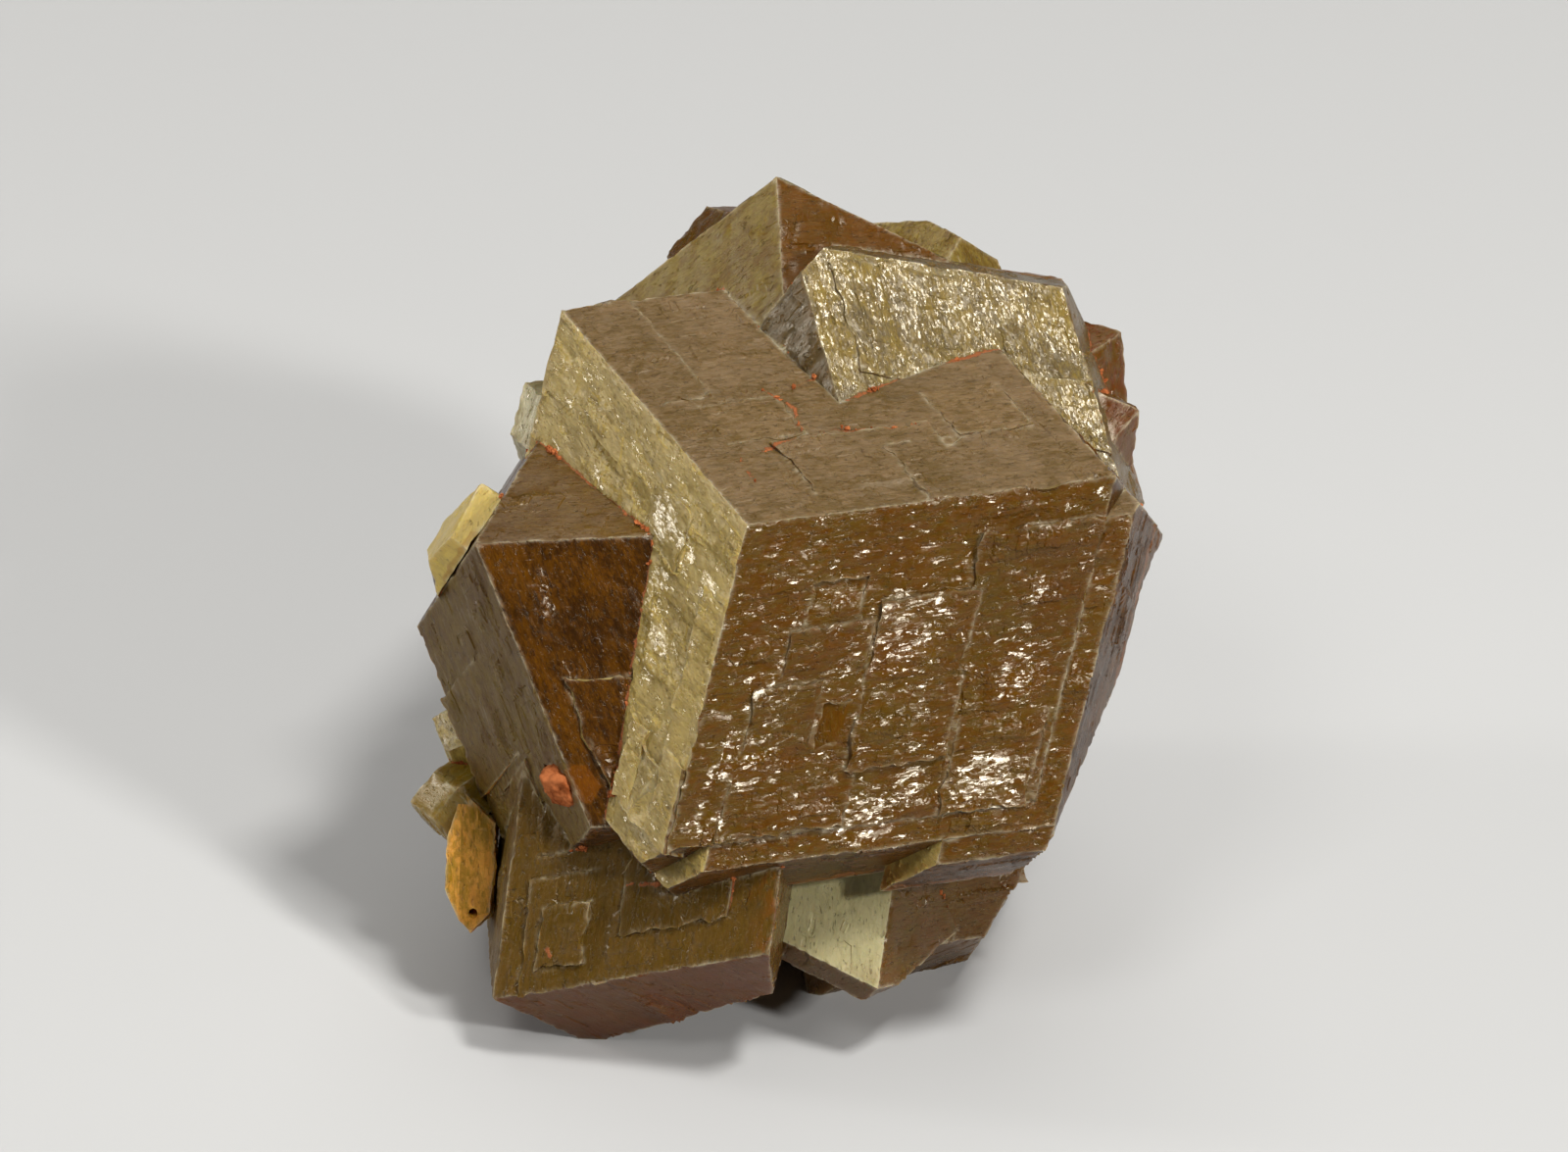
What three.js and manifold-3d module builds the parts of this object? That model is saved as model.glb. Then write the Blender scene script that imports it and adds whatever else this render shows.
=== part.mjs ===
// Andradite garnet specimen: a hand-sized cluster of intergrown rhombic dodecahedra.
// Millimetres, +Z up. The cluster rests on flats at Z = 0, and the origin is the middle of its box there.
// The crystal that shows best faces -Y.

import * as THREE from 'three';
import { ConvexGeometry } from 'three/addons/geometries/ConvexGeometry.js';
import { mergeVertices } from 'three/addons/utils/BufferGeometryUtils.js';
import Module from 'manifold-3d';

const wasm = await Module();
wasm.setup();

// Driving dimensions
const MAIN_EDGE = 18.7; // edge of the main crystal's rhombic faces
const FLAT_LEVEL = 0.3; // height at which the lowest points are broken flat, where the cluster rests
const ROOT = 1.2; // how far a growth plate is rooted in the face that carries it
const CRUMB_GAP = 0.3; // space around the rust crumb in its pocket
const BEYOND = 120; // larger than the cluster
const TINY = 1e-6; // smaller than any step or edge
const SAME_POINT = 1e-4; // corners closer than this are one corner

const SQRT2 = Math.sqrt(2);
const SQRT3 = Math.sqrt(3);
const reachOfEdge = (edge) => (edge * SQRT2) / SQRT3; // centre to face of a dodecahedron with this edge

// A crystal is given by its centre, the azimuth and elevation of its x axis, which ends in a
// four-way corner, the twist about that axis, and its reach from centre to face.
// A face is named by the two axes that it cuts, and may have a distance of its own.
const MAIN = { at: [2.1, -4.2, 17.9], aim: [169, 49], twist: -18, reach: reachOfEdge(MAIN_EDGE) };
const RIGHT_BREAK = { facing: [0.85, 0, -0.53], through: [19.1, -5.1, 23.7] };
const CRYSTALS = {
  main: { ...MAIN, faces: { '-x+y': 13.9, '-x-y': 9.6 }, cuts: [RIGHT_BREAK] },
  main_front: {
    ...MAIN,
    faces: { '+y+z': 15.2, '+x+z': 13.5, '-x+z': 16.4, '-x+y': 15.0, '+x+y': 13.4, '-y-z': -11 },
    cuts: [RIGHT_BREAK],
  },
  main_corner: {
    ...MAIN,
    faces: { '+y+z': 15.1, '+x+z': 8, '-x+z': 16.4, '-x+y': 16.1, '+x+y': 3.4, '-y-z': -12 },
    cuts: [RIGHT_BREAK],
  },
  crown: { at: [0.8, 3.6, 24.6], aim: [-158, 83], twist: 22, reach: 10.6 },
  silver: {
    at: [6.8, 0.2, 24.6], aim: [-160, 67], twist: 27, reach: 10.2, faces: { '-x-y': -5, '+x-z': 11.5 },
    cuts: [{ facing: [0.9, 0.21, 0.37], through: [13.9, 4.6, 32.3] }],
  },
  brown: {
    at: [-6.7, -5.6, 17.2], aim: [-141, 40], twist: 86, reach: 11.0, faces: { '-y+z': 8.5, '-y-z': 12.6 },
  },
  olive: {
    at: [-2.2, -7.8, 8.7], aim: [-139, -15], twist: 59, reach: 12.7,
    cuts: [
      { facing: [0.52, 0, -0.85], through: [-10.4, -16.6, -0.2] },
      { facing: [0.98, -0.16, -0.07], through: [-1.2, -23.3, 9.4] },
    ],
  },
  foot: {
    at: [2.3, -11.8, 5.3], aim: [-77, 0], twist: 115, reach: 6.1,
    cuts: [
      { facing: [-0.35, -0.15, -0.92], through: [3.4, -15.2, 3.4] },
      { facing: [0.35, -0.15, -0.92], through: [3.4, -15.2, 3.4] },
    ],
  },
  back_top: {
    at: [6.2, 6.5, 28.9], aim: [20, 60], twist: 10, reach: 4.8,
    cuts: [{ facing: [0.5, 0.43, 0.75], through: [6.5, 9.4, 33.8] }],
  },
  left_top: {
    at: [-3.4, 5.6, 32.3], aim: [150, 40], twist: 30, reach: 3.4,
    cuts: [{ facing: [-0.76, -0.12, 0.64], through: [-4.85, 9.2, 34.6] }],
  },
  right_top: { at: [13.4, 1.1, 28.3], aim: [10, 40], twist: 10, reach: 3.2 },
  right_low: { at: [14.4, -3.5, 27.9], aim: [-10, 30], twist: 50, reach: 2.6 },
  left_yellow: {
    at: [-15.2, -8.6, 23.4], aim: [-170, -5], twist: 20, reach: 3.0,
    cuts: [
      { facing: [-0.97, -0.12, -0.21], through: [-18.65, -8.2, 24.2] },
      { facing: [0.83, -0.28, -0.48], through: [-18, -9.5, 22] },
    ],
  },
  left_low: { at: [-16.2, -7.6, 12.7], aim: [175, 20], twist: 30, reach: 1.8 },
  left_sliver: { at: [-11.8, -0.3, 26.5], aim: [160, 50], twist: 0, reach: 2.3 },
  left_bud: { at: [-17.2, -10.0, 10.2], aim: [180, 0], twist: 45, reach: 1.75 },
  right_foot: {
    at: [5.5, -7, 6.5], aim: [-20, -20], twist: 45, reach: 7,
    cuts: [{ facing: [0.86, -0.25, -0.44], through: [12.3, -10.4, 7.4] }],
  },
  rear_main: { at: [0.5, 5.8, 18.4], aim: [80, 30], twist: 20, reach: 11 },
  rear_foot: { at: [-3, 7, 5.5], aim: [100, -30], twist: 30, reach: 7 },
};

// Low steps on the faces. Along and across are distances from the face's blunt corner along its two
// edges, and a rise below 0 is a pit. A step that fades is highest at the first of its two distances
// in that direction and runs out into the face at the second.
const STEPS = [
  { on: 'main', face: '+y+z', along: [2.0, 9], across: [12.4, 18.7], rise: 0.38, fades: 'along' },
  { on: 'main', face: '+y+z', along: [5.0, 10], across: [8.1, 13.1], rise: 0.3, fades: 'along' },
  { on: 'main', face: '+y+z', along: [6.0, 9.2], across: [3.7, 7.9], rise: 0.22, fades: 'along' },
  { on: 'main', face: '+y+z', along: [8.9, 13], across: [2.6, 6.1], rise: 0.22, fades: 'along' },
  { on: 'main', face: '+y+z', along: [13.9, 9], across: [8.2, 13.3], rise: 0.34, fades: 'along' },
  { on: 'main', face: '+y+z', along: [17, 11], across: [13.7, 18.2], rise: 0.26, fades: 'along' },
  { on: 'main', face: '+y+z', along: [16.8, 13], across: [2.4, 8.8], rise: 0.3, fades: 'along' },
  { on: 'main', face: '+y+z', along: [10, 17], across: [0, 2.2], rise: 0.16, fades: 'across' },
  { on: 'main', face: '+y+z', along: [3.6, 6], across: [4.3, 7], rise: -0.28, fades: 'along' },
  { on: 'main', face: '+y+z', along: [10.2, 12.4], across: [6.4, 7.9], rise: -0.25, fades: 'across' },
  { on: 'main', face: '+x+z', along: [6, 0.4], across: [4.4, 12.2], rise: 0.16, fades: 'along' },
  { on: 'main', face: '+x+z', along: [0, 4.7], across: [9.3, 18.2], rise: 0.14, fades: 'across' },
  { on: 'main', face: '+x+z', along: [4.7, 10], across: [13.2, 17], rise: 0.12, fades: 'along' },
  { on: 'main', face: '+x+z', along: [10.2, 18.7], across: [3.5, 0], rise: 0.16, fades: 'across' },
  { on: 'main', face: '+x+z', along: [6.4, 9.6], across: [6.3, 1], rise: 0.14, fades: 'across' },
  { on: 'main', face: '+x+y', along: [2.1, 0], across: [4.4, 12.8], rise: 0.16, fades: 'along' },
  { on: 'main', face: '+x+y', along: [0, 1.8], across: [12.7, 17.2], rise: 0.28 },
  { on: 'main', face: '+x+y', along: [1.8, 3.5], across: [13.8, 17.2], rise: 0.28 },
  { on: 'main', face: '+x+y', along: [3.5, 5], across: [12.9, 17.2], rise: 0.28 },
  { on: 'main', face: '+x+y', along: [4.4, 9.4], across: [2.2, 5.2], rise: 0.12, fades: 'along' },
  { on: 'olive', face: '+x+y', along: [9.6, 15.6], across: [1.4, 6.4], rise: 0.18, fades: 'across' },
  { on: 'olive', face: '+x+y', along: [11.2, 14.4], across: [2.3, 5], rise: 0.3 },
  { on: 'olive', face: '+x+y', along: [13.2, 6], across: [6.8, 13], rise: 0.26, fades: 'along' },
  { on: 'olive', face: '+x+y', along: [3, 8.4], across: [4.2, 0.8], rise: 0.16, fades: 'across' },
  { on: 'crown', face: '+x+y', along: [0.6, 6], across: [4, 9.6], rise: 0.14, fades: 'along' },
  { on: 'crown', face: '+x-z', along: [8.4, 3], across: [4.6, 13], rise: 0.14, fades: 'along' },
  { on: 'silver', face: '+x+y', along: [12.4, 9.2], across: [0.5, 7], rise: 0.2, fades: 'along' },
  { on: 'silver', face: '+x+y', along: [4.4, 9.6], across: [0.4, 5.6], rise: 0.2, fades: 'along' },
  { on: 'silver', face: '+x+y', along: [0, 4.4], across: [5.4, 9.4], rise: 0.16, fades: 'along' },
  { on: 'brown', face: '+x-y', along: [3, 10], across: [4, 9.4], rise: 0.24, fades: 'along' },
  { on: 'brown', face: '+x-y', along: [9.4, 4], across: [10, 14], rise: 0.2, fades: 'along' },
  { on: 'brown', face: '+x-z', along: [11.8, 5], across: [7.4, 13.6], rise: 0.24, fades: 'along' },
  { on: 'rear_main', face: '+x+y', along: [0, 9], across: [3, 13.4], rise: 0.36, fades: 'along' },
  { on: 'rear_main', face: '+x+y', along: [5, 9.4], across: [5.2, 10], rise: 0.34, fades: 'across' },
  { on: 'rear_main', face: '+x-y', along: [3, 13.4], across: [8, 0], rise: 0.34, fades: 'across' },
  { on: 'rear_main', face: '+x-y', along: [2, 6.4], across: [3.4, 9], rise: 0.3, fades: 'along' },
  { on: 'rear_main', face: '+x+z', along: [4, 13.4], across: [4.5, 10], rise: 0.34, fades: 'across' },
  { on: 'rear_main', face: '+x-z', along: [7.5, 0], across: [5, 13.4], rise: 0.3, fades: 'along' },
  { on: 'rear_foot', face: '+x+y', along: [5, 0], across: [2, 8.5], rise: 0.3, fades: 'along' },
  { on: 'rear_foot', face: '+x+z', along: [2, 8.5], across: [5, 0], rise: 0.3, fades: 'across' },
  { on: 'right_foot', face: '+x+z', along: [0, 6], across: [2, 8.5], rise: 0.3, fades: 'along' },
];
const RUN_OUT = 0.05; // how far below the face a fading step ends

// A sliver of a broken crystal that leans on the olive crystal's left side, with a pinhole through it.
const SPLINTER_FRONT = [
  [-17.7, -12.6, 9.6], [-17.8, -13.9, 7.3], [-17.1, -14.7, 6.0], [-16.5, -15.0, 5.3],
  [-15.5, -14.5, 6.3], [-15.2, -12.2, 10.2], [-16.9, -11.4, 11.7],
];
const SPLINTER_BACK = [
  [-17.6, -9.9, 8.2], [-17.7, -11.3, 5.8], [-17.1, -12.1, 4.5], [-15.2, -11.9, 4.7], [-15.2, -9.4, 9.1],
];
const PINHOLE = { at: [-16.35, -13.9, 6.25], radius: 0.25, length: 12, sides: 8 };

// The largest crumb of iron oxide, in a pocket between the brown and the olive crystal
const CRUMB = { at: [-11.2, -16.8, 15.5], size: [1.3, 1.0, 0.9] };

const AXES = 'xyz';

function directionOf(name) {
  const v = new THREE.Vector3();
  v.setComponent(AXES.indexOf(name[1]), name[0] === '+' ? 1 : -1);
  v.setComponent(AXES.indexOf(name[3]), name[2] === '+' ? 1 : -1);
  return v.normalize();
}

const SIGNS = ['+', '-'];
const FACE_NAMES = ['xy', 'xz', 'yz'].flatMap(([first, second]) =>
  SIGNS.flatMap((sign) => SIGNS.map((other) => `${sign}${first}${other}${second}`)),
);

function poseOf({ at, aim, twist }) {
  const [azimuth, elevation] = aim.map(THREE.MathUtils.degToRad);
  const pose = new THREE.Matrix4().makeRotationZ(azimuth);
  pose.multiply(new THREE.Matrix4().makeRotationY(-elevation));
  pose.multiply(new THREE.Matrix4().makeRotationX(THREE.MathUtils.degToRad(twist)));
  return pose.setPosition(...at);
}

// Corners of the convex body that the planes close: each plane keeps the points with normal . p <= reach.
function cornersOf(planes) {
  const corners = [];
  for (let i = 0; i < planes.length; i++) {
    for (let j = i + 1; j < planes.length; j++) {
      for (let k = j + 1; k < planes.length; k++) {
        const [a, b, c] = [planes[i], planes[j], planes[k]];
        const bc = new THREE.Vector3().crossVectors(b.normal, c.normal);
        const volume = a.normal.dot(bc);
        if (Math.abs(volume) < TINY) continue;
        const point = bc.multiplyScalar(a.reach);
        point.addScaledVector(new THREE.Vector3().crossVectors(c.normal, a.normal), b.reach);
        point.addScaledVector(new THREE.Vector3().crossVectors(a.normal, b.normal), c.reach);
        point.divideScalar(volume);
        const inside = planes.every((plane) => plane.normal.dot(point) <= plane.reach + TINY);
        if (inside && corners.every((corner) => corner.distanceTo(point) > SAME_POINT)) corners.push(point);
      }
    }
  }
  return corners;
}

function solidOf(geometry) {
  const bare = geometry.clone();
  bare.deleteAttribute('normal');
  bare.deleteAttribute('uv');
  const merged = mergeVertices(bare, SAME_POINT);
  const vertProperties = Float32Array.from(merged.attributes.position.array);
  const triVerts = Uint32Array.from(merged.index.array);
  return new wasm.Manifold(new wasm.Mesh({ numProp: 3, vertProperties, triVerts }));
}

const hullSolid = (points) => solidOf(new ConvexGeometry(points));

function crystalSolid(crystal) {
  const pose = poseOf(crystal);
  const centre = new THREE.Vector3(...crystal.at);
  const planes = FACE_NAMES.map((name) => {
    const normal = directionOf(name).transformDirection(pose);
    return { normal, reach: normal.dot(centre) + (crystal.faces?.[name] ?? crystal.reach) };
  });
  for (const { facing, through } of crystal.cuts ?? []) {
    const normal = new THREE.Vector3(...facing).normalize();
    planes.push({ normal, reach: normal.dot(new THREE.Vector3(...through)) });
  }
  return hullSolid(cornersOf(planes));
}

// The edges that leave a face's blunt corner: both go against the axis that the face doesn't cut,
// and each follows one of the other two.
function faceFrame({ reach, ...crystal }, name) {
  const normal = directionOf(name);
  const [first, second] = [name[1], name[3]].map((axis) => AXES.indexOf(axis));
  const spare = 3 - first - second;
  const edge = (kept, turned) => {
    const v = normal.clone().multiplyScalar(SQRT2);
    v.setComponent(turned, -v.getComponent(turned));
    return v.setComponent(spare, -1).normalize();
  };
  const corner = normal.clone().multiplyScalar(SQRT2).setComponent(spare, 1);
  corner.multiplyScalar(reach / SQRT2);
  const lift = (crystal.faces?.[name] ?? reach) - reach;
  corner.addScaledVector(normal, lift);
  return { corner, along: edge(first, second), across: edge(second, first), normal };
}

function stepSolid({ on, face, along, across, rise, fades }) {
  const frame = faceFrame(CRYSTALS[on], face);
  const pose = poseOf(CRYSTALS[on]);
  const side = Math.sign(rise);
  const points = [];
  for (const a of along) {
    for (const b of across) {
      const faded = (fades === 'along' && a === along[1]) || (fades === 'across' && b === across[1]);
      for (const height of [-side * ROOT, faded ? -side * RUN_OUT : rise]) {
        const point = frame.corner.clone().addScaledVector(frame.along, a).addScaledVector(frame.across, b);
        points.push(point.addScaledVector(frame.normal, height).applyMatrix4(pose));
      }
    }
  }
  return hullSolid(points);
}

function splinterSolid() {
  const points = [...SPLINTER_FRONT, ...SPLINTER_BACK].map((place) => new THREE.Vector3(...place));
  const { at, radius, length, sides } = PINHOLE;
  const hole = new THREE.CylinderGeometry(radius, radius, length, sides).translate(...at);
  return hullSolid(points).subtract(solidOf(hole));
}

function crumbSolid(gap) {
  const lump = new THREE.IcosahedronGeometry(1, 1);
  lump.scale(...CRUMB.size.map((size) => size + gap));
  return solidOf(lump.translate(...CRUMB.at));
}

function geometryOf(solid) {
  const mesh = solid.getMesh();
  const geometry = new THREE.BufferGeometry();
  geometry.setAttribute('position', new THREE.BufferAttribute(Float32Array.from(mesh.vertProperties), 3));
  geometry.setIndex(new THREE.BufferAttribute(Uint32Array.from(mesh.triVerts), 1));
  return geometry;
}

const join = (solids) => solids.reduce((joined, solid) => joined.add(solid));
const raised = STEPS.filter(({ rise }) => rise > 0).map(stepSolid);
const sunk = STEPS.filter(({ rise }) => rise < 0).map(stepSolid);
const underside = new THREE.BoxGeometry(BEYOND, BEYOND, BEYOND).translate(0, 0, FLAT_LEVEL - BEYOND / 2);

const cluster = join([...Object.values(CRYSTALS).map(crystalSolid), ...raised, splinterSolid()])
  .subtract(join(sunk))
  .subtract(crumbSolid(CRUMB_GAP))
  .subtract(solidOf(underside));

const garnet = new THREE.MeshStandardMaterial({ color: 0x6b5a24, roughness: 0.35, metalness: 0 });
const ironOxide = new THREE.MeshStandardMaterial({ color: 0xb5572a, roughness: 0.9, metalness: 0 });

const clusterMesh = new THREE.Mesh(geometryOf(cluster), garnet);
clusterMesh.name = 'garnet_cluster';
const crumbMesh = new THREE.Mesh(geometryOf(crumbSolid(0)), ironOxide);
crumbMesh.name = 'iron_oxide_crumb';

// The origin is moved to the middle of the box, at the height of the flats.
const box = new THREE.Box3().setFromObject(clusterMesh);
const middle = box.getCenter(new THREE.Vector3());
const group = new THREE.Group();
group.position.set(-middle.x, -middle.y, -box.min.z);
group.add(clusterMesh, crumbMesh);

export default group;
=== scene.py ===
"""Andradite garnet specimen: growth detail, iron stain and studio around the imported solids."""

import functools
import itertools
import math
from typing import NamedTuple

import bmesh
import bpy
import numpy as np
from mathutils import Matrix, Vector, noise
from mathutils.bvhtree import BVHTree
from mathutils.geometry import delaunay_2d_cdt
from mathutils.kdtree import KDTree


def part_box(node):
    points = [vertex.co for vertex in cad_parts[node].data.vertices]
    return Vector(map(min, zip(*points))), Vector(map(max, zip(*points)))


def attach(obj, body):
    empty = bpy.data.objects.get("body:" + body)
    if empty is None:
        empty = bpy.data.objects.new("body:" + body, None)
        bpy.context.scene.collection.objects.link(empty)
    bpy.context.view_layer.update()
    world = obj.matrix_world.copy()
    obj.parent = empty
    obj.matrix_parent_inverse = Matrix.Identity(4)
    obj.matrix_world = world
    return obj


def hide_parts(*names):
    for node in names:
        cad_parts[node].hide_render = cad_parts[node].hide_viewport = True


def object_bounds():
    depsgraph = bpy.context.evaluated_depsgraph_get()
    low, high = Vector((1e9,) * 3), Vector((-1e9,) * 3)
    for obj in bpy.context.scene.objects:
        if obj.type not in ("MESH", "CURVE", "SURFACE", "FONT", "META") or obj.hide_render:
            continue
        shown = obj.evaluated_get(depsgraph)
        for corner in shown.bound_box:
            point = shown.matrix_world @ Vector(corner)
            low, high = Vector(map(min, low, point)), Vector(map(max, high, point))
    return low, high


bl_info = {
    "name": "Andradite Garnet Specimen",
    "version": (1, 0, 0),
    "blender": (4, 5, 0),
    "location": "View3D > Sidebar > Garnet",
    "description": "Gives the packed garnet cluster its growth steps, stain, grains and studio",
    "category": "Object",
}

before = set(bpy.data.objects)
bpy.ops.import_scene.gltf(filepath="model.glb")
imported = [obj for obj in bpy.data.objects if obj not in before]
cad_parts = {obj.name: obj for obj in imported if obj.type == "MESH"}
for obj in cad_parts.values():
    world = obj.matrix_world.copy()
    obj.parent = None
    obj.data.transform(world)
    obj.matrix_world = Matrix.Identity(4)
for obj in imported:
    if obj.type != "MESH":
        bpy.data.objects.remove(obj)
CAD_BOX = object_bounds()

CLUSTER, CRUMB = "garnet_cluster", "iron_oxide_crumb"
MM = 0.001

# Seeds of the random draws. Flat parts add their number to those of the bends and terraces.
SEEDS = {
    "bends": 500, "terraces": 1000, "mesh": 7, "wear": 31, "ledges": 17, "tints": 5, "crumb": 12,
    "grains": 3,
}

# The crystals as the solids have them: centre in millimetres, direction of the x axis (azimuth and
# elevation), twist about it. Growth marks follow the edges of their rhombic faces.
CRYSTALS = {
    "main": ((2.5, -2.1, 17.6), (169, 49), -18),
    "crown": ((1.2, 5.7, 24.3), (-158, 83), 22),
    "silver": ((7.2, 2.3, 24.3), (-160, 67), 27),
    "brown": ((-6.3, -3.5, 16.9), (-141, 40), 86),
    "olive": ((-1.8, -5.7, 8.4), (-139, -15), 59),
    "foot": ((2.7, -9.7, 5.0), (-77, 0), 115),
    "back_top": ((6.6, 8.6, 28.6), (20, 60), 10),
    "left_top": ((-3.0, 7.7, 32.0), (150, 40), 30),
    "right_top": ((13.8, 3.2, 28.0), (10, 40), 10),
    "right_low": ((14.8, -1.4, 27.6), (-10, 30), 50),
    "left_yellow": ((-14.8, -6.5, 23.1), (-170, -5), 20),
    "left_low": ((-15.8, -5.5, 12.4), (175, 20), 30),
    "left_sliver": ((-11.4, 1.8, 26.2), (160, 50), 0),
    "left_bud": ((-16.8, -7.9, 9.9), (180, 0), 45),
    "right_foot": ((5.9, -4.9, 6.2), (-20, -20), 45),
    "rear_main": ((0.9, 7.9, 18.1), (80, 30), 20),
    "rear_foot": ((-2.6, 9.1, 5.2), (100, -30), 30),
}
SPLINTER = (-16.2, -10.4, 7.4)  # middle of the broken sliver at the left
SPLINTER_REACH = 5.0
BROKEN, SLIVER = "broken", "splinter"  # flat parts that are no crystal face


def draws(name, number=0):
    return np.random.default_rng(SEEDS[name] + number)


def tone(red, green, blue):
    """A colour in 0..255 as the linear values that a shader takes."""
    levels = (value / 255 for value in (red, green, blue))
    return tuple(s / 12.92 if s < 0.04045 else ((s + 0.055) / 1.055) ** 2.4 for s in levels)


class Look(NamedTuple):
    """How a face looks: two tints in patches, finish, and how much growth detail it carries.

    run is the edge direction that its striae follow. lean is how far its small facets slope along
    and across the face where it glitters. fine is how much smaller its marks are than usual.
    """

    tint: str
    patch: str
    roughness: float = 0.32
    sparkle: float = 0.25
    striae: float = 0.45
    relief: float = 0.8
    run: str = "across"
    lean: tuple = (0, 0)
    fine: float = 1.0


# A crystal's None row is for the faces that have no row of their own.
LOOKS = {
    ("main", "+x+z"): Look("mauve", "olive", 0.46, 0.10, 0.50, 0.7, fine=1.1),
    ("main", "+x+y"): Look("tan", "khaki", 0.40, 0.80, 0.25, 0.9, "along", (-0.05, -0.19), 1.3),
    ("main", "+y+z"): Look("amber", "olive", 0.26, 0.90, 0.45, 1.2, lean=(-0.27, 0.09)),
    ("main", None): Look("umber", "amber", 0.30, 0.35, 0.80, 1.0),
    ("crown", "+x-z"): Look("moss", "bronze", 0.42, 0.10, 0.30, 0.3),
    ("crown", "+x+y"): Look("umber", "brown", 0.26, 0.12, 0.30, 0.3),
    ("crown", None): Look("moss", "olive", 0.38, 0.20, 0.40, 0.8),
    ("silver", "+x+y"): Look("silver", "khaki", 0.30, 1.40, 0.20, 1.0, lean=(0.09, 0.08), fine=1.6),
    ("silver", None): Look("silver", "bronze", 0.34, 0.50, 0.30, 1.0),
    ("brown", "+x+y"): Look("brown", "bronze", 0.30, 0.12, 0.30, 0.4),
    ("brown", "+x-z"): Look("umber", "amber", 0.24, 0.15, 0.70, 0.4),
    ("brown", "+x-y"): Look("grey_olive", "brown", 0.50, 0.20, 0.50, 0.8),
    ("brown", None): Look("umber", "amber", 0.32, 0.20, 0.50, 0.7),
    ("olive", "+x+y"): Look("olive", "bronze", 0.32, 0.25, 0.45, 0.9, "along"),
    ("olive", "+x+z"): Look("grey_olive", "brown", 0.52, 0.30, 0.60, 0.8, "along"),
    ("olive", "+x-z"): Look("dark_amber", "amber", 0.42, 0.15, 0.40, 0.7),
    ("olive", None): Look("dark_amber", "umber", 0.34, 0.15, 0.40, 0.7),
    ("foot", "+x+y"): Look("pale", "sage", 0.46, 0.10, 0.15, 0.3),
    ("foot", None): Look("amber", "olive", 0.30, 0.20, 0.40, 0.6),
    ("back_top", None): Look("bronze", "moss", 0.34, 0.30, 0.40, 0.9),
    ("left_top", None): Look("amber", "brown", 0.34, 0.20, 0.40, 0.6),
    ("right_top", None): Look("bronze", "dark_amber", 0.30, 0.30, 0.50, 0.8),
    ("right_low", None): Look("dark_amber", "bronze", 0.30, 0.25, 0.50, 0.8),
    ("left_yellow", None): Look("straw", "tan", 0.36, 0.15, 0.30, 0.5),
    ("left_low", None): Look("moss", "straw", 0.34, 0.15, 0.40, 0.5),
    ("left_sliver", None): Look("pale", "moss", 0.36, 0.15, 0.30, 0.5),
    ("left_bud", None): Look("honey", "moss", 0.26, 0.10, 0.20, 0.4),
    ("right_foot", None): Look("amber", "bronze", 0.34, 0.40, 0.60, 1.2),
    ("rear_main", None): Look("amber", "olive", 0.30, 0.50, 0.45, 1.1),
    ("rear_foot", None): Look("olive", "bronze", 0.32, 0.35, 0.45, 1.0),
    (BROKEN, None): Look("amber", "olive", 0.26, 0.25, 0.40, 0.6),
    (SLIVER, None): Look("splinter", "honey", 0.38, 0.05, 0.50, 0.3),
}

# Patches of small flashing facets on a face: distances along and across from its blunt corner, and
# reach, in millimetres.
GLITTER = {
    ("main", "+y+z"): (
        (7.2, 9.5, 3.2), (12.4, 2.8, 2.2), (8.9, 3.5, 1.6), (4.6, 5.4, 1.1), (15.7, 15.9, 2.6),
        (10.1, 16.2, 1.6), (15.2, 12.0, 1.2), (15.8, 1.7, 1.4), (5.5, 16.1, 0.9), (16.9, 9.9, 2.0),
    ),
    ("main", "+x+y"): (
        (6.4, 3.6, 1.5), (4.1, 3.7, 1.2), (5.5, 9.2, 2.4), (5.7, 6.8, 1.5), (12.3, 5.2, 1.0),
        (1.6, 4.3, 0.9),
    ),
    ("silver", "+x+y"): (
        (11.8, 0.9, 2.6), (13.8, 2.9, 2.2), (13.4, 5.0, 1.8), (6.7, 1.1, 2.6), (0.9, 2.2, 1.8),
        (0.4, 7.1, 2.0), (3.6, 0.6, 2.6), (9.0, 2.0, 2.4), (4.5, 4.0, 1.2),
    ),
}

# Lines of rust in cracks of a face, as distances along and across from its blunt corner
CRACKS = {
    ("main", "+x+z"): (
        ((5.5, 3.6), (6.4, 7.6), (5.8, 12.1)),
        ((10.2, 6.1), (8.4, 6.7), (6.6, 6.2)),
        ((5.3, 2.3), (2.9, 2.1)),
        ((10.0, 7.4), (10.9, 9.6), (10.0, 11.4)),
    ),
    ("olive", "+x+y"): (((10.6, 6.9), (10.9, 8.8)), ((13.3, 3.0), (14.0, 3.4))),
}
# How much rust there is in the seam between two crystals, whose names are in alphabetical order
RUSTY = {
    ("crown", "main"): 1.0,
    ("main", "silver"): 1.0,
    ("brown", "main"): 0.9,
    ("right_top", "silver"): 1.0,
    ("right_low", "silver"): 1.0,
    ("main", "olive"): 0.9,
    ("foot", "olive"): 0.8,
}
SOME_RUST = 0.6  # in the other seams


def colour(name, description, default):
    return bpy.props.FloatVectorProperty(
        name=name, description=description, default=default, subtype="COLOR", min=0, max=1
    )


def measure(name, description, default, **options):
    return bpy.props.FloatProperty(name=name, description=description, default=default, **options)


def length(name, description, millimetres):
    return measure(name, description, millimetres * MM, unit="LENGTH", min=0, precision=5)


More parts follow.
